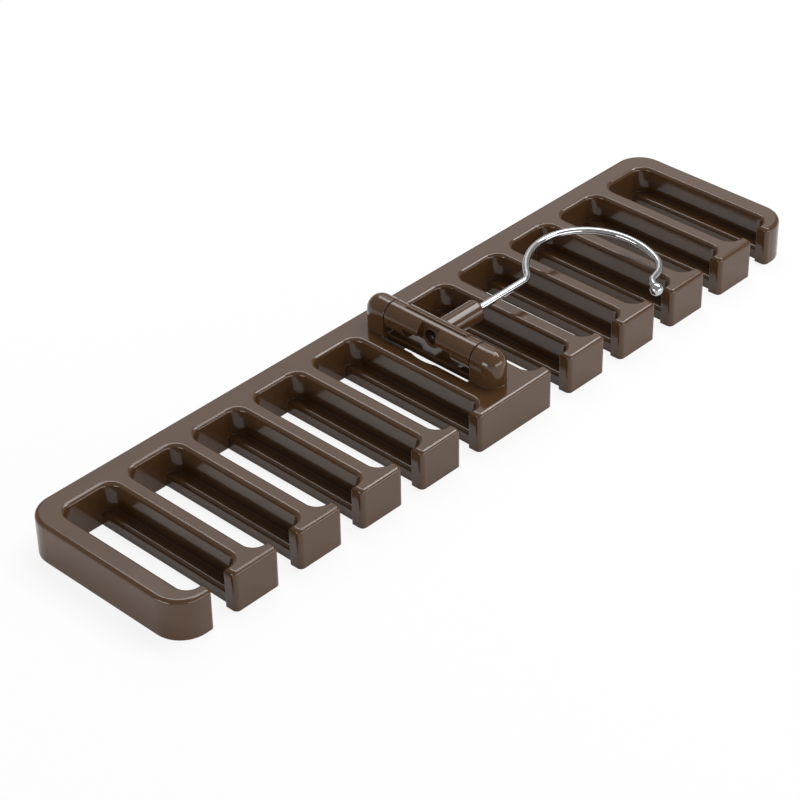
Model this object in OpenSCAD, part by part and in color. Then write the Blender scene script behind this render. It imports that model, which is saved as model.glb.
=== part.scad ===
// Folding tie hanger: a slotted plastic comb with a wire hook that folds down over it.
// The comb lies flat, its length is along X, its spine along +Y and its teeth point along -Y.
// The origin is at the middle of the comb's underside.

/* [Comb] */
// Depth of the comb, from the spine's back face to the teeth's front faces
comb_d = 73; // [62:0.5:84]
// Thickness of the comb
comb_h = 15; // [13:0.1:18]
// Depth of the spine
spine_d = 8.9; // [7:0.1:12]
// Width of the bar at each end of the comb
end_bar_w = 8.05; // [6.5:0.05:11]
// Radius of the comb's four outer corners
outer_corner_r = 10.5; // [8:0.1:12]
// Radius of the rounding along the comb's top edges
edge_r = 1.5; // [0.8:0.1:1.6]

/* [Ribs and slots] */
// Slots on each side of the middle block
slots_per_side = 5; // [4:1:6]
// Distance between neighbouring slots
slot_pitch = 27.7; // [26.5:0.1:32]
// Thickness of a rib's upright web
web_t = 6.2; // [5:0.1:8]
// Width of a rib's foot
foot_w = 16; // [14.5:0.1:17]
// Height of a rib's foot
foot_h = 4.8; // [3.5:0.1:6]
// Radius of the rounding along the foot's top edges
foot_edge_r = 1.5; // [0.8:0.1:1.8]
// Width of a tooth's head
head_w = 18.85; // [18:0.05:20]
// Depth of a tooth's head
head_d = 4.7; // [4:0.1:7]
// Radius of a tooth's upright corners
tooth_corner_r = 1.7; // [1.6:0.1:2.2]
// Radius of the upright corners inside each slot
pocket_r = 4.5; // [3:0.1:5]

/* [Middle block] */
// Width of the middle block above its foot
block_w = 24.3; // [22:0.1:30]
// Thickness of the plate on top of the middle block
plate_t = 2.5; // [2.2:0.1:4]
// Thickness of the walls beside the hollow under the plate
block_wall_t = 1.6; // [1.4:0.1:3]
// Length of the hollow under the plate
hollow_l = 49; // [44:0.5:52]
// Width over the two slits in the plate, under the bar
window_w = 12.7; // [10:0.1:14]
// Width of each slit, beside the strip of plate between them
slit_w = 3.5; // [2.5:0.1:4.5]
// How far the bay in each slit's outer edge reaches out
bay_depth = 0.9; // [0.6:0.05:1.8]
// Length of each slit's bay
bay_l = 11; // [8:0.1:14]

/* [Posts] */
// Distance between the two posts
post_gap = 40; // [36:0.5:42]
// Radius of a post's round top and round outer end
post_r = 5.2; // [4.6:0.1:5.8]
// Length of a post's straight part
post_straight_l = 5.3; // [4.5:0.1:6]
// Height of the turning axis above the comb's top
axis_rise = 6.9; // [6.6:0.1:9]
// Diameter of the bar's stub axles
axle_d = 4; // [3:0.1:4.6]
// Reach of a stub axle into its post
axle_l = 2.5; // [1.5:0.1:3.5]
// Depth of the blind hole beyond the axle's end
axle_end_play = 0.5; // [0.3:0.05:0.8]

/* [Pivot bar] */
// Radius of the bar: half-round in its middle, full-round at its ends
bar_r = 5.2; // [4.8:0.1:5.6]
// Gap between the bar's end and the post
bar_end_gap = 0.5; // [0.3:0.05:1]
// Height of the raised shoulder on the socket's side of the bar
shoulder_t = 0.5; // [0.3:0.05:0.9]
// Length of the raised shoulder
shoulder_l = 27.6; // [24:0.1:30]
// Wall of the half-round part over its hollows
bar_wall_t = 1.8; // [1.4:0.1:2.4]
// Length of the full-round part at each end of the bar
round_end_l = 8.5; // [6:0.1:9.5]
// Radius of the socket
socket_r = 4.1; // [3.8:0.1:4.6]
// Reach of the socket from the turning axis
socket_reach = 20.7; // [17:0.1:26]
// Radius of the rounding round the socket's mouth
socket_edge_r = 1.2; // [0.6:0.1:1.4]
// Width of the notch in the bar's back
notch_w = 8.2; // [7.4:0.1:9]
// Distance from the turning axis to the notch's floor
notch_floor = 2.2; // [1.8:0.1:3]

/* [Hook] */
// Diameter of the wire
wire_d = 2.6; // [2.2:0.1:3]
// Distance from the turning axis to where the shank's bend starts
shank_l = 45.1; // [40:0.5:48]
// Radius of the shank's bend, along the wire's middle
bend_r = 5; // [4:0.1:7]
// Radius of the big hook, along the wire's middle
hook_r = 24.5; // [20:0.1:25.5]
// Distance from the shank's line to the big hook's centre
hook_offset = 13.1; // [10:0.1:13.5]
// Angle at which the big hook ends, below the line from its centre away from the shank
hook_end_angle = 22; // [15:1:26]
// Radius of the tighter curve that follows
crook_r = 10.5; // [8:0.1:11]
// Angle through which that curve turns
crook_turn = 54; // [48:1:56]
// Length of the straight stretch before the turned-out tip
tip_l = 2.4; // [1.5:0.1:3.5]
// Radius of the turned-out tip
flare_r = 4.5; // [3.5:0.1:5]
// Angle through which the tip turns out
flare_turn = 44; // [35:1:46]
// Length of the straight stretch between the turned-out tip and the ball
stem_l = 1.2; // [1:0.1:1.6]
// Length of the wire inside the ball
ball_seat_l = 2; // [1.2:0.1:2.4]
// Diameter of the ball on the tip
ball_d = 4.8; // [4.4:0.1:5]
// Diameter of the washer at the wire's inner end
washer_d = 5.4; // [4.8:0.1:5.8]
// Thickness of the washer
washer_t = 0.8; // [0.6:0.1:1.2]
// Diameter of the wire's peened head
head_rivet_d = 4.2; // [3.8:0.1:4.6]
// Thickness of the wire's peened head
head_rivet_t = 0.9; // [0.6:0.1:1.2]
// Distance from the turning axis to the shoulder that the washer turns on
washer_seat = 3; // [2.4:0.1:4]

/* [Fits] */
// Radial clearance of an axle or wire that turns in its hole
running_gap = 0.08; // [0.04:0.01:0.1]
// Play along the axis between the washer and its shoulder
side_play = 0.2; // [0.15:0.05:0.4]
// Radial clearance round the washer
washer_gap = 0.15; // [0.1:0.05:0.3]
// Radial clearance between the wire and the hole in a piece fixed on it
fixed_gap = 0.02; // [0.01:0.01:0.05]
// Gap between the folded hook's ball and the comb's top
rest_gap = 0.4; // [0.3:0.05:0.8]

/* [Hidden] */
$fn = 96;
// Every cut runs past the surface that it opens by this much
overrun = 2;
// Two stretches of the wire meet inside a short sleeve, this long and this much proud of the wire,
// and each stops this short of the sleeve's middle
sleeve_l = 0.6;
sleeve_rise = 0.05;
sleeve_trim = 0.15;

plastic = [0.13, 0.09, 0.07];
chrome = [0.78, 0.79, 0.81];
steel = [0.55, 0.56, 0.58];

// Slots: the wide pocket above the feet, the gap between two feet, and the throat between two heads
pocket_w = slot_pitch - web_t;
gap_w = slot_pitch - foot_w;
throat_w = slot_pitch - head_w;
pocket_l = comb_d - spine_d - head_d;
pocket_y = (head_d - spine_d)/2;
first_slot_x = (block_w + pocket_w)/2;
comb_l = 2*(first_slot_x + (slots_per_side - 1)*slot_pitch + pocket_w/2 + end_bar_w);
slot_places = [for (side = [-1, 1], i = [0 : slots_per_side - 1]) side*(first_slot_x + i*slot_pitch)];

// Pivot
axis_z = comb_h + axis_rise;
bar_l = post_gap - 2*bar_end_gap;
bay_r = (pow(bay_l/2, 2) + pow(bay_depth, 2))/(2*bay_depth);
bay_cut_share = 1.5;

// Hook, drawn in its own plane: the shank lies along X and starts over the turning axis
bend_x = shank_l;
big_centre_x = bend_x + sqrt(pow(hook_r + bend_r, 2) - pow(hook_offset + bend_r, 2));
bend_turn = acos((hook_offset + bend_r)/(hook_r + bend_r));
bend_end = [bend_x + bend_r*sin(bend_turn), bend_r - bend_r*cos(bend_turn)];
hook_end = [big_centre_x, -hook_offset] + hook_r*[cos(hook_end_angle), -sin(hook_end_angle)];
crook_centre = [big_centre_x, -hook_offset]
    + (hook_r - crook_r)*[cos(hook_end_angle), -sin(hook_end_angle)];
crook_end_angle = hook_end_angle + crook_turn;
crook_end = crook_centre + crook_r*[cos(crook_end_angle), -sin(crook_end_angle)];
tip_way = [-sin(crook_end_angle), -cos(crook_end_angle)];
tip_end = crook_end + tip_l*tip_way;
flare_centre = tip_end + flare_r*[cos(crook_end_angle), -sin(crook_end_angle)];
flare_end_angle = 180 - crook_end_angle + flare_turn;
flare_end = flare_centre + flare_r*[cos(flare_end_angle), sin(flare_end_angle)];
ball_way = [-sin(flare_end_angle), cos(flare_end_angle)];
ball_pole = flare_end + stem_l*ball_way;
ball_centre = ball_pole + ball_d/2*ball_way;
// The folded hook leans down until its ball lies just above the comb
hook_lean = asin((axis_rise - ball_d/2 - rest_gap)/-ball_centre[1]);

// Section of a straight cut with its lips rounded over: w wide, from z = low to z = high,
// with its lips cut lip_over past that
module lipped_section(w, low, high, lip_r, lip_over) {
    translate([-w/2, low]) square([w, high - low + overrun]);
    for (side = [-1, 1])
        difference() {
            translate([side*(w/2 + lip_r/2), high - (lip_r - lip_over)/2])
                square([lip_r, lip_r + lip_over], center = true);
            translate([side*(w/2 + lip_r), high - lip_r]) circle(lip_r);
        }
}

// Half of that section, turned about its middle to cut an upright round corner
module lipped_corner(r, low, high, lip_r) {
    rotate_extrude()
        intersection() {
            lipped_section(2*r, low, high, lip_r, overrun);
            square([r + lip_r, high + overrun]);
        }
}

module along_y(length) {
    rotate([90, 0, 0]) linear_extrude(length, center = true) children();
}

module along_x(length) {
    rotate([90, 0, 90]) linear_extrude(length, center = true) children();
}

// Section of a bar with its two top edges rounded
module rounded_bar_section(w) {
    translate([-w/2, 0]) square([w, comb_h - edge_r]);
    translate([edge_r - w/2, 0]) square([w - 2*edge_r, comb_h]);
    for (side = [-1, 1])
        translate([side*(w/2 - edge_r), comb_h - edge_r]) circle(edge_r);
}

// The comb before its slots are cut: a plate with round corners and a rounded top edge
module comb_blank() {
    along_y(comb_d - 2*outer_corner_r) rounded_bar_section(comb_l);
    along_x(comb_l - 2*outer_corner_r) rounded_bar_section(comb_d);
    for (x = [-1, 1], y = [-1, 1])
        translate([x*(comb_l/2 - outer_corner_r), y*(comb_d/2 - outer_corner_r), 0])
            rotate_extrude() intersection() {
                rounded_bar_section(2*outer_corner_r);
                square([outer_corner_r, comb_h]);
            }
}

// Wide upper part of a slot, over the feet of the ribs on both sides
module slot_pocket() {
    translate([0, pocket_y, 0]) {
        along_y(pocket_l - 2*pocket_r) lipped_section(pocket_w, foot_h, comb_h, edge_r, overrun);
        along_x(pocket_w - 2*pocket_r) lipped_section(pocket_l, foot_h, comb_h, edge_r, overrun);
        for (x = [-1, 1], y = [-1, 1])
            translate([x*(pocket_w/2 - pocket_r), y*(pocket_l/2 - pocket_r), 0])
                lipped_corner(pocket_r, foot_h, comb_h, edge_r);
    }
}

// Narrow lower part of a slot, right through between two feet
module slot_gap() {
    translate([0, pocket_y, 0])
        along_y(pocket_l) lipped_section(gap_w, -overrun, foot_h, foot_edge_r, 0);
}

// Mouth of a slot, between two tooth heads, with the heads' front corners rounded
module slot_throat() {
    translate([0, (head_d - comb_d)/2, 0]) {
        along_y(head_d + pocket_r) lipped_section(throat_w, -overrun, comb_h, edge_r, overrun);
        for (side = [-1, 1])
            translate([side*(throat_w/2 + tooth_corner_r), tooth_corner_r - head_d/2, 0])
                difference() {
                    translate([-side*(tooth_corner_r + overrun)/2, -(tooth_corner_r + overrun)/2, comb_h/2])
                        cube([tooth_corner_r + overrun, tooth_corner_r + overrun, comb_h + 2*overrun],
                            center = true);
                    rotate_extrude() intersection() {
                        union() {
                            translate([0, -2*overrun])
                                square([tooth_corner_r, comb_h - edge_r + 2*overrun]);
                            square([tooth_corner_r - edge_r, comb_h]);
                            translate([tooth_corner_r - edge_r, comb_h - edge_r]) circle(edge_r);
                        }
                        translate([0, -2*overrun]) square([tooth_corner_r, comb_h + 2*overrun]);
                    }
                }
    }
}

// The two slits in the middle block's plate, each with a shallow bay in its outer edge
module window_outline() {
    for (side = [-1, 1]) {
        translate([side*(window_w - slit_w)/2, 0]) square([slit_w, post_gap], center = true);
        intersection() {
            translate([side*(window_w/2 + bay_depth - bay_r), 0]) circle(bay_r);
            translate([side*window_w/2, 0]) square([bay_cut_share*slit_w, bay_l + 2*overrun], center = true);
        }
    }
}

// Post that carries one end of the bar: round outer end, half-round top
module post() {
    linear_extrude(axis_rise + plate_t/2) {
        translate([-post_r, 0]) square([2*post_r, post_straight_l]);
        translate([0, post_straight_l]) circle(post_r);
    }
    translate([0, 0, axis_rise + plate_t/2]) {
        rotate([-90, 0, 0]) cylinder(r = post_r, h = post_straight_l);
        translate([0, post_straight_l, 0]) sphere(post_r);
    }
}

module comb() {
    color(plastic)
    difference() {
        union() {
            difference() {
                comb_blank();
                for (x = slot_places)
                    translate([x, 0, 0]) {
                        slot_pocket();
                        slot_gap();
                        slot_throat();
                    }
                translate([0, 0, (comb_h - plate_t - overrun)/2])
                    cube([block_w - 2*block_wall_t, hollow_l, comb_h - plate_t + overrun], center = true);
                linear_extrude(comb_h + overrun) window_outline();
            }
            for (turn = [0, 180])
                rotate(turn) translate([0, post_gap/2, comb_h - plate_t/2]) post();
        }
        for (side = [-1, 1])
            translate([0, side*(post_gap/2 - overrun), axis_z])
                rotate([-90*side, 0, 0])
                    cylinder(d = axle_d + 2*running_gap, h = overrun + axle_l + axle_end_play);
    }
}

// The bar in its own place: its axis is along Y through the origin, its socket points along +X
module bar_at_origin() {
    // Half-round bar with hollows under it, and the raised shoulder
    difference() {
        union() {
            along_y(bar_l) intersection() {
                circle(bar_r);
                translate([-bar_r, 0]) square([2*bar_r, bar_r]);
            }
            along_y(shoulder_l) intersection() {
                circle(bar_r + shoulder_t);
                square(bar_r + shoulder_t);
            }
        }
        for (side = [-1, 1])
            translate([0, side*(bar_l/2 - round_end_l + socket_r + bar_wall_t)/2, 0])
                along_y(bar_l/2 - round_end_l - socket_r - bar_wall_t) circle(bar_r - bar_wall_t);
    }
    // Full-round part and stub axle at each end
    for (turn = [0, 180])
        rotate(turn) {
            translate([0, bar_l/2, 0]) rotate([90, 0, 0]) cylinder(r = bar_r, h = round_end_l);
            translate([0, bar_l/2 - round_end_l/2, 0]) rotate([-90, 0, 0])
                cylinder(d = axle_d, h = round_end_l/2 + bar_end_gap + axle_l);
        }
    // Socket, with its mouth rounded
    translate([-notch_floor, 0, 0]) rotate([0, 90, 0])
        rotate_extrude() {
            square([socket_r, notch_floor + socket_reach - socket_edge_r]);
            square([socket_r - socket_edge_r, notch_floor + socket_reach]);
            intersection() {
                translate([socket_r - socket_edge_r, notch_floor + socket_reach - socket_edge_r])
                    circle(socket_edge_r);
                square([socket_r, notch_floor + socket_reach]);
            }
        }
}

module pivot_bar() {
    color(plastic)
    translate([0, 0, axis_z])
    difference() {
        bar_at_origin();
        // Notch in the back, open above and below
        translate([-notch_floor - bar_r, -notch_w/2, -bar_r - overrun])
            cube([bar_r, notch_w, 2*(bar_r + overrun)]);
        // Counterbore for the washer and the peened head
        translate([-bar_r, 0, 0]) rotate([0, 90, 0])
            cylinder(d = washer_d + 2*washer_gap, h = bar_r + washer_seat);
        // Hole that the wire turns in
        rotate([0, 90, 0]) cylinder(d = wire_d + 2*running_gap, h = socket_reach + overrun);
    }
}

// Puts the hook's plane where the folded hook lies
module in_hook_plane() {
    translate([0, 0, axis_z]) rotate([hook_lean, 0, 0]) children();
}

module wire_washer() {
    color(steel)
    in_hook_plane()
    translate([washer_seat - side_play - washer_t, 0, 0]) rotate([0, 90, 0])
        difference() {
            cylinder(d = washer_d, h = washer_t);
            translate([0, 0, -overrun]) cylinder(d = wire_d + 2*fixed_gap, h = washer_t + 2*overrun);
        }
}

// A stretch of wire bent to radius r about the origin, from one angle to another
module bent_wire(r, from_angle, to_angle) {
    trim = sleeve_trim/r*180/PI;
    rotate(from_angle + trim) rotate_extrude(angle = to_angle - from_angle - 2*trim)
        translate([r, 0]) circle(d = wire_d);
}

// A straight stretch of wire from the origin
module straight_wire(length, angle) {
    rotate(angle) rotate([0, 90, 0]) cylinder(d = wire_d, h = length);
}

module hook_wire() {
    inner_end = washer_seat - side_play - washer_t;
    color(chrome)
    in_hook_plane() {
        translate([inner_end - head_rivet_t, 0, 0]) rotate([0, 90, 0])
            cylinder(d = head_rivet_d, h = head_rivet_t);
        translate([inner_end - head_rivet_t/2, 0, 0])
            straight_wire(shank_l - sleeve_trim - inner_end + head_rivet_t/2, 0);
        translate([bend_x, bend_r, 0]) bent_wire(bend_r, -90, bend_turn - 90);
        translate([big_centre_x, -hook_offset, 0]) bent_wire(hook_r, -hook_end_angle, 90 + bend_turn);
        translate(concat(crook_centre, 0)) bent_wire(crook_r, -crook_end_angle, -hook_end_angle);
        translate(concat(crook_end + sleeve_trim*tip_way, 0))
            straight_wire(tip_l - 2*sleeve_trim, -90 - crook_end_angle);
        translate(concat(flare_centre, 0)) bent_wire(flare_r, 180 - crook_end_angle, flare_end_angle);
        translate(concat(flare_end + sleeve_trim*ball_way, 0))
            straight_wire(stem_l + ball_seat_l - sleeve_trim, flare_end_angle + 90);
        // Place and direction of each sleeve
        for (joint = [
            [[bend_x, 0], 0],
            [bend_end, bend_turn],
            [hook_end, -90 - hook_end_angle],
            [crook_end, -90 - crook_end_angle],
            [tip_end, -90 - crook_end_angle],
            [flare_end, flare_end_angle + 90]
        ])
            translate(concat(joint[0], 0)) rotate(joint[1]) rotate([0, 90, 0])
                cylinder(d = wire_d + 2*sleeve_rise, h = sleeve_l, center = true);
    }
}

module hook_ball() {
    color(chrome)
    in_hook_plane()
    difference() {
        translate(concat(ball_centre, 0)) sphere(d = ball_d);
        translate(concat(ball_pole - overrun*ball_way, 0)) rotate(flare_end_angle + 90) rotate([0, 90, 0])
            cylinder(d = wire_d + 2*fixed_gap, h = overrun + ball_seat_l);
    }
}

comb();
pivot_bar();
wire_washer();
hook_wire();
hook_ball();
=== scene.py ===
from math import acos, asin, cos, degrees, pi, radians, sin, sqrt

import bpy
import bmesh
from mathutils import Matrix, Vector


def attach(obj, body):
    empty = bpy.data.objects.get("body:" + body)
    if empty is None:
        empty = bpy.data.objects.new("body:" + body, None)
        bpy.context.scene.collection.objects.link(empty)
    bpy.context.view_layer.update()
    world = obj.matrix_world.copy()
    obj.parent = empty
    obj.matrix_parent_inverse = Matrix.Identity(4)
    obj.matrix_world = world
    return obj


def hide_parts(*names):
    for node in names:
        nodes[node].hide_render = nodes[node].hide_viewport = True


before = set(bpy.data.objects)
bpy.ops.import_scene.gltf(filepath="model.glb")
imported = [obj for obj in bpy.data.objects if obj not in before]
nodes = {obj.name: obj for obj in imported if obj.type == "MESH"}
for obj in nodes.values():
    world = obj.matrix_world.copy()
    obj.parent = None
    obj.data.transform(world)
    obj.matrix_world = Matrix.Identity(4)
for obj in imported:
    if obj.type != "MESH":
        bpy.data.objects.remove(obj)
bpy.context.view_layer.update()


# Comb: one injection moulding in glossy dark brown plastic. It is the spine, the eleven ribs with their
# feet and heads, the middle block and the two posts. Its shape is the CAD solid's own, and its long flats
# show the slight waviness of a cooled moulding.
PLASTIC_BROWN = (0.070, 0.033, 0.013)
PLASTIC_BROWN_FLOW = (0.080, 0.038, 0.015)
PLASTIC_IOR = 1.52
FLOW_STREAKS = (22.0, 60.0, 60.0)
FLOW_FROM, FLOW_TO = 0.35, 0.7
HANDLING_SCALE = 45.0
HANDLING_FROM, HANDLING_TO = 0.3, 0.75
POLISHED, HANDLED = 0.09, 0.16
WAVE_SCALE, WAVE_DEPTH = 95.0, 0.0006
PEEL_SCALE, PEEL_DEPTH = 1400.0, 0.00005
SKIN_STRENGTH = 0.10
EDGE_WEAR_R = 0.00028
EDGE_SAMPLES = 6


def moulded_plastic(name):
    """Glossy moulded plastic, its sharp edges broken by the mould's own small radius."""
    material = bpy.data.materials.new(name)
    material.use_nodes = True
    tree = material.node_tree
    tree.nodes.clear()

    def node(kind, **settings):
        made = tree.nodes.new(kind)
        for key, value in settings.items():
            setattr(made, key, value)
        return made

    link = tree.links.new
    place = node("ShaderNodeTexCoord")
    finish = node("ShaderNodeOutputMaterial")
    plastic = node("ShaderNodeBsdfPrincipled")
    link(plastic.outputs["BSDF"], finish.inputs["Surface"])
    plastic.inputs["IOR"].default_value = PLASTIC_IOR

    # Flow of the melt: slow streaks along the length, a little lighter and darker
    stretch = node("ShaderNodeMapping")
    stretch.inputs["Scale"].default_value = FLOW_STREAKS
    link(place.outputs["Object"], stretch.inputs["Vector"])
    flow = node("ShaderNodeTexNoise")
    flow.inputs["Scale"].default_value = 1.0
    flow.inputs["Detail"].default_value = 3.0
    link(stretch.outputs["Vector"], flow.inputs["Vector"])
    browns = node("ShaderNodeValToRGB")
    browns.color_ramp.elements[0].position = FLOW_FROM
    browns.color_ramp.elements[0].color = (*PLASTIC_BROWN, 1.0)
    browns.color_ramp.elements[1].position = FLOW_TO
    browns.color_ramp.elements[1].color = (*PLASTIC_BROWN_FLOW, 1.0)
    link(flow.outputs["Fac"], browns.inputs["Fac"])
    link(browns.outputs["Color"], plastic.inputs["Base Color"])

    # Polish: nearly even, with faint duller patches from handling
    handling = node("ShaderNodeTexNoise")
    handling.inputs["Scale"].default_value = HANDLING_SCALE
    handling.inputs["Detail"].default_value = 4.0
    link(place.outputs["Object"], handling.inputs["Vector"])
    polish = node("ShaderNodeMapRange")
    polish.inputs["From Min"].default_value = HANDLING_FROM
    polish.inputs["From Max"].default_value = HANDLING_TO
    polish.inputs["To Min"].default_value = POLISHED
    polish.inputs["To Max"].default_value = HANDLED
    link(handling.outputs["Fac"], polish.inputs["Value"])
    link(polish.outputs["Result"], plastic.inputs["Roughness"])

    # Skin: long soft waves where the wall shrank, and a fine orange peel
    waves = node("ShaderNodeTexNoise")
    waves.inputs["Scale"].default_value = WAVE_SCALE
    waves.inputs["Detail"].default_value = 2.0
    link(place.outputs["Object"], waves.inputs["Vector"])
    peel = node("ShaderNodeTexNoise")
    peel.inputs["Scale"].default_value = PEEL_SCALE
    peel.inputs["Detail"].default_value = 2.0
    link(place.outputs["Object"], peel.inputs["Vector"])
    wave_bump = node("ShaderNodeBump")
    wave_bump.inputs["Strength"].default_value = SKIN_STRENGTH
    wave_bump.inputs["Distance"].default_value = WAVE_DEPTH
    link(waves.outputs["Fac"], wave_bump.inputs["Height"])
    edge = node("ShaderNodeBevel", samples=EDGE_SAMPLES)
    edge.inputs["Radius"].default_value = EDGE_WEAR_R
    link(edge.outputs["Normal"], wave_bump.inputs["Normal"])
    peel_bump = node("ShaderNodeBump")
    peel_bump.inputs["Strength"].default_value = SKIN_STRENGTH
    peel_bump.inputs["Distance"].default_value = PEEL_DEPTH
    link(peel.outputs["Fac"], peel_bump.inputs["Height"])
    link(wave_bump.outputs["Normal"], peel_bump.inputs["Normal"])
    link(peel_bump.outputs["Normal"], plastic.inputs["Normal"])
    return material


comb_plastic = moulded_plastic("comb_plastic")
nodes["comb"].data.materials.clear()
nodes["comb"].data.materials.append(comb_plastic)


# Pivot bar: a second injection moulding of the same plastic, snapped between the posts by its two stub
# axles. It is half round on top, with a raised shoulder and the socket that the hook's wire turns in.
bar_plastic = moulded_plastic("bar_plastic")
nodes["pivot_bar"].data.materials.clear()
nodes["pivot_bar"].data.materials.append(bar_plastic)


# Hook: one steel wire, bent cold in its own plane and bright chromium plated. Its inner end is peened over
# the washer, its shank turns in the bar's socket, and it lies folded over the comb.
WIRE_D = 0.0026
AXIS_Z = 0.0219
SHANK_L = 0.0451
BEND_R = 0.005
HOOK_R = 0.0245
HOOK_OFFSET = 0.0131
HOOK_END_ANGLE = radians(22)
CROOK_R = 0.0105
CROOK_TURN = radians(54)
TIP_L = 0.0024
FLARE_R = 0.0045
FLARE_TURN = radians(44)
STEM_L = 0.0012
BALL_SEAT_L = 0.002
BALL_D = 0.0048
WASHER_FACE_X = 0.002
PEENED_D = 0.0042
PEENED_T = 0.0009
REST_RISE = 0.0041
SHANK_RINGS = 24
SHORT_RINGS = 4
RING_TURN = 2.5

bend_turn = acos((HOOK_OFFSET + BEND_R)/(HOOK_R + BEND_R))
big_centre = Vector((SHANK_L + sqrt((HOOK_R + BEND_R)**2 - (HOOK_OFFSET + BEND_R)**2), -HOOK_OFFSET))


def bent(places, start, heading, radius, turn):
    """Adds one bend to places, as (point, heading) pairs: to the left for a turn above zero."""
    side = 1 if turn > 0 else -1
    centre = start + side*radius*Vector((-sin(heading), cos(heading)))
    steps = max(6, round(abs(degrees(turn))/RING_TURN))
    for i in range(1, steps + 1):
        now = heading + turn*i/steps
        places.append((centre + side*radius*Vector((sin(now), -cos(now))), now))


def straight(places, start, heading, length, steps):
    for i in range(1, steps + 1):
        places.append((start + length*i/steps*Vector((cos(heading), sin(heading))), heading))


wire_line = [(Vector((WASHER_FACE_X, 0)), 0.0)]
straight(wire_line, *wire_line[-1], SHANK_L - WASHER_FACE_X, SHANK_RINGS)
bent(wire_line, *wire_line[-1], BEND_R, bend_turn)
bent(wire_line, *wire_line[-1], HOOK_R, -(pi/2 + bend_turn + HOOK_END_ANGLE))
bent(wire_line, *wire_line[-1], CROOK_R, -CROOK_TURN)
straight(wire_line, *wire_line[-1], TIP_L, SHORT_RINGS)
bent(wire_line, *wire_line[-1], FLARE_R, FLARE_TURN)
ball_pole, ball_heading = wire_line[-1]
ball_pole = ball_pole + STEM_L*Vector((cos(ball_heading), sin(ball_heading)))
straight(wire_line, *wire_line[-1], STEM_L + BALL_SEAT_L, SHORT_RINGS)
ball_centre = ball_pole + BALL_D/2*Vector((cos(ball_heading), sin(ball_heading)))
hook_lean = asin(REST_RISE/-ball_centre.y)
hook_plane = Matrix.Translation((0, 0, AXIS_Z)) @ Matrix.Rotation(hook_lean, 4, "X")


def swept(name, rings, sides=40):
    """A closed round skin through rings, as (point, heading, radius), in the hook's plane."""
    mesh = bmesh.new()
    loops = []
    for point, heading, radius in rings:
        across = Vector((-sin(heading), cos(heading), 0))
        if radius == 0:
            loops.append([mesh.verts.new(Vector((*point, 0)))])
            continue
        loops.append([
            mesh.verts.new(
                Vector((*point, 0)) + radius*(cos(2*pi*k/sides)*across + sin(2*pi*k/sides)*Vector((0, 0, 1)))
            )
            for k in range(sides)
        ])
    for one, two in zip(loops, loops[1:]):
        for k in range(sides):
            after = (k + 1) % sides
            corners = [one[k % len(one)], one[after % len(one)], two[after % len(two)], two[k % len(two)]]
            distinct = [c for i, c in enumerate(corners) if c not in corners[:i]]
            mesh.faces.new(distinct)
    bmesh.ops.recalc_face_normals(mesh, faces=mesh.faces)
    for face in mesh.faces:
        face.smooth = True
    data = bpy.data.meshes.new(name)
    mesh.to_mesh(data)
    mesh.free()
    data.transform(hook_plane)
    piece = bpy.data.objects.new(name, data)
    bpy.context.scene.collection.objects.link(piece)
    return piece


peened = [
    (WASHER_FACE_X - PEENED_T*(1 - share_in), PEENED_D/2*share_out)
    for share_in, share_out in (
        (0.0, 0.0), (0.02, 0.25), (0.10, 0.55), (0.26, 0.80),
        (0.50, 0.95), (0.75, 1.0), (0.96, 0.99), (1.0, 0.95),
    )
]
rings = [(Vector((x, 0)), 0.0, r) for x, r in peened]
rings += [(point, heading, WIRE_D/2) for point, heading in wire_line]
rings.append((wire_line[-1][0], wire_line[-1][1], 0))
hook_wire = swept("hook_wire_plated", rings)


CHROME_TONES = ((0.47, 0.48, 0.49, 1), (0.58, 0.58, 0.58, 1))
CHROME_POLISH = (0.05, 0.11)
DRAWN_SCALE, DRAWN_DEPTH, DRAWN_STRENGTH = 260.0, 0.0001, 0.12


def plated_chrome(name):
    material = bpy.data.materials.new(name)
    material.use_nodes = True
    tree = material.node_tree
    tree.nodes.clear()
    link = tree.links.new
    place = tree.nodes.new("ShaderNodeTexCoord")
    finish = tree.nodes.new("ShaderNodeOutputMaterial")
    chrome = tree.nodes.new("ShaderNodeBsdfPrincipled")
    link(chrome.outputs["BSDF"], finish.inputs["Surface"])
    chrome.inputs["Metallic"].default_value = 1.0
    # Plating over drawn wire: its tone and polish drift a little
    drift = tree.nodes.new("ShaderNodeTexNoise")
    drift.inputs["Scale"].default_value = DRAWN_SCALE
    drift.inputs["Detail"].default_value = 3.0
    link(place.outputs["Object"], drift.inputs["Vector"])
    tones = tree.nodes.new("ShaderNodeValToRGB")
    for element, tone in zip(tones.color_ramp.elements, CHROME_TONES):
        element.color = tone
    link(drift.outputs["Fac"], tones.inputs["Fac"])
    link(tones.outputs["Color"], chrome.inputs["Base Color"])
    polish = tree.nodes.new("ShaderNodeMapRange")
    polish.inputs["To Min"].default_value = CHROME_POLISH[0]
    polish.inputs["To Max"].default_value = CHROME_POLISH[1]
    link(drift.outputs["Fac"], polish.inputs["Value"])
    link(polish.outputs["Result"], chrome.inputs["Roughness"])
    bump = tree.nodes.new("ShaderNodeBump")
    bump.inputs["Strength"].default_value = DRAWN_STRENGTH
    bump.inputs["Distance"].default_value = DRAWN_DEPTH
    link(drift.outputs["Fac"], bump.inputs["Height"])
    link(bump.outputs["Normal"], chrome.inputs["Normal"])
    return material


wire_chrome = plated_chrome("wire_chrome")
hook_wire.data.materials.append(wire_chrome)
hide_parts("hook_wire")
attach(hook_wire, "hook")


# Washer: a zinc plated steel stamping in the bar's counterbore. The wire's peened head holds it against its
# shoulder, and it keeps the hook in the socket.
nodes["wire_washer"].data.materials.clear()
nodes["wire_washer"].data.materials.append(plated_chrome("washer_zinc"))


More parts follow.
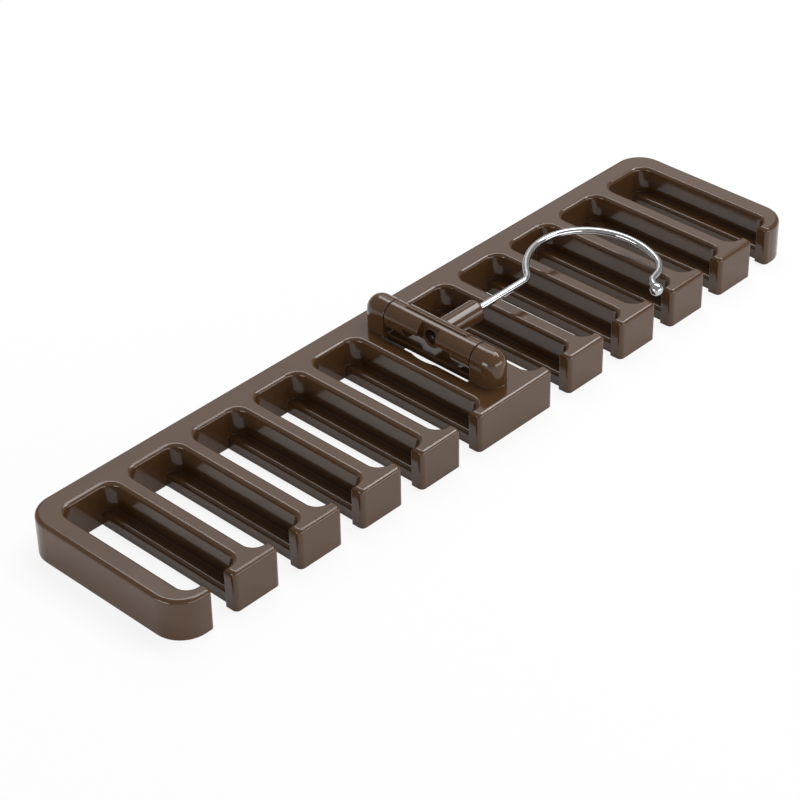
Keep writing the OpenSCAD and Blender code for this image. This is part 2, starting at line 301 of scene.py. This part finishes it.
# Ball: a turned brass ball, chromium plated and pressed on the wire's tip, so that it can't catch in cloth.
BALL_BORE_R = 0.00132
mouth_angle = asin(BALL_BORE_R/(BALL_D/2))
ball_rings = []
way = Vector((cos(ball_heading), sin(ball_heading)))
seat_floor = ball_pole + BALL_SEAT_L*way
ball_rings.append((seat_floor, ball_heading, 0))
ball_rings.append((seat_floor, ball_heading, BALL_BORE_R))
ball_rings.append((ball_centre - BALL_D/2*cos(mouth_angle)*way, ball_heading, BALL_BORE_R))
BALL_STEPS = 40
for i in range(1, BALL_STEPS):
    angle = mouth_angle + (pi - mouth_angle)*i/BALL_STEPS
    ball_rings.append((ball_centre - BALL_D/2*cos(angle)*way, ball_heading, BALL_D/2*sin(angle)))
ball_rings.append((ball_centre + BALL_D/2*way, ball_heading, 0))
hook_ball = swept("hook_ball_plated", ball_rings, 48)
hook_ball.data.materials.append(plated_chrome("ball_chrome"))
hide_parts("hook_ball")
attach(hook_ball, "hook")


# Studio: a pale, softly lit paper floor, five softboxes round it, and the camera at the photograph's view.
# What is mirrored in the plastic sees the paper dimmer than the camera does, as in the shade under a comb.
FLOOR_HALF = 4.0
FLOOR_BELOW = 0.0001
PAPER = (0.9, 0.9, 0.9, 1)
WHITE = (1, 1, 1, 1)
LIT_TABLE_SHARE = 0.3
MIRRORED_SHARE = 0.35
SEEN_SHARE = 0.86

floor_mesh = bpy.data.meshes.new("studio_floor")
floor_mesh.from_pydata(
    [(x*FLOOR_HALF, y*FLOOR_HALF, 0) for x, y in ((-1, -1), (1, -1), (1, 1), (-1, 1))],
    [], [(0, 1, 2, 3)],
)
studio_floor = bpy.data.objects.new("studio_floor", floor_mesh)
bpy.context.scene.collection.objects.link(studio_floor)
studio_floor.location.z = -FLOOR_BELOW
paper = bpy.data.materials.new("floor_paper")
paper.use_nodes = True
tree = paper.node_tree
tree.nodes.clear()
path = tree.nodes.new("ShaderNodeLightPath")


def sum_node(operation, first, second):
    """A math node of the paper. Each input is a socket to link, or a number."""
    made = tree.nodes.new("ShaderNodeMath")
    made.operation = operation
    for socket, given in zip(made.inputs, (first, second)):
        if isinstance(given, float):
            socket.default_value = given
        else:
            tree.links.new(given, socket)
    return made.outputs[0]


mirrored = sum_node("MULTIPLY", path.outputs["Is Glossy Ray"], MIRRORED_SHARE)
seen = sum_node("MAXIMUM", path.outputs["Is Camera Ray"], path.outputs["Is Transmission Ray"])
direct = sum_node("MULTIPLY", seen, SEEN_SHARE)
share = sum_node("MAXIMUM", sum_node("MAXIMUM", mirrored, direct), LIT_TABLE_SHARE)
out = tree.nodes.new("ShaderNodeOutputMaterial")
matt = tree.nodes.new("ShaderNodeBsdfDiffuse")
matt.inputs["Color"].default_value = PAPER
glow = tree.nodes.new("ShaderNodeEmission")
glow.inputs["Color"].default_value = WHITE
glow.inputs["Strength"].default_value = 1.0
mix = tree.nodes.new("ShaderNodeMixShader")
tree.links.new(share, mix.inputs["Fac"])
tree.links.new(matt.outputs[0], mix.inputs[1])
tree.links.new(glow.outputs[0], mix.inputs[2])
tree.links.new(mix.outputs[0], out.inputs["Surface"])
floor_mesh.materials.append(paper)

AIR_STRENGTH = 0.35
world = bpy.data.worlds.new("studio_air")
bpy.context.scene.world = world
world.use_nodes = True
tree = world.node_tree
tree.nodes.clear()
out = tree.nodes.new("ShaderNodeOutputWorld")
path = tree.nodes.new("ShaderNodeLightPath")
mix = tree.nodes.new("ShaderNodeMixShader")
tree.links.new(path.outputs["Is Camera Ray"], mix.inputs["Fac"])
for slot, strength in ((1, AIR_STRENGTH), (2, 1.0)):
    air = tree.nodes.new("ShaderNodeBackground")
    air.inputs["Color"].default_value = WHITE
    air.inputs["Strength"].default_value = strength
    tree.links.new(air.outputs[0], mix.inputs[slot])
tree.links.new(mix.outputs[0], out.inputs["Surface"])

# Name, place, aim, size and power of each softbox
SOFTBOXES = (
    ("overhead_softbox", (0.63, 0.48, 1.6), (0.63, 0.48, 0), (0.66, 1.92), 18),
    ("key_softbox", (1.28, -0.40, 1.6), (1.28, -0.40, 0), (0.56, 1.44), 18),
    ("back_softbox", (1.17, 1.14, 1.15), (0, 0, 0), (1.2, 0.8), 2.3),
    ("front_fill", (0.3, -1.8, 0.32), (0, 0, 0), (2.2, 0.5), 13),
    ("end_fill", (-1.8, 0.2, 0.30), (-0.1, 0, 0), (1.2, 0.5), 9),
)
for name, place, aim, size, power in SOFTBOXES:
    lamp = bpy.data.lights.new(name, "AREA")
    lamp.shape = "RECTANGLE"
    lamp.size, lamp.size_y = size
    lamp.energy = power
    softbox = bpy.data.objects.new(name, lamp)
    bpy.context.scene.collection.objects.link(softbox)
    softbox.location = place
    softbox.rotation_euler = (Vector(aim) - Vector(place)).to_track_quat("-Z", "Y").to_euler()

LENS_MM = 113.98
SENSOR_MM = 36.0
NEAREST, FARTHEST = 0.01, 20.0
CAMERA_PLACE = Vector((-0.52042, -0.48965, 0.49902))
SIGHT = Vector((0.58514, 0.57045, -0.57637))
RIGHT = Vector((0.68826, -0.72521, -0.01904))
lens = bpy.data.cameras.new("photo_camera")
lens.sensor_width = SENSOR_MM
lens.lens = LENS_MM
lens.clip_start = NEAREST
lens.clip_end = FARTHEST
camera = bpy.data.objects.new("photo_camera", lens)
bpy.context.scene.collection.objects.link(camera)
sight = SIGHT.normalized()
right = RIGHT.normalized()
up = right.cross(sight).normalized()
camera.matrix_world = Matrix((
    (right.x, up.x, -sight.x, CAMERA_PLACE.x),
    (right.y, up.y, -sight.y, CAMERA_PLACE.y),
    (right.z, up.z, -sight.z, CAMERA_PLACE.z),
    (0, 0, 0, 1),
))
bpy.context.scene.camera = camera
bpy.context.scene.view_settings.view_transform = "Standard"
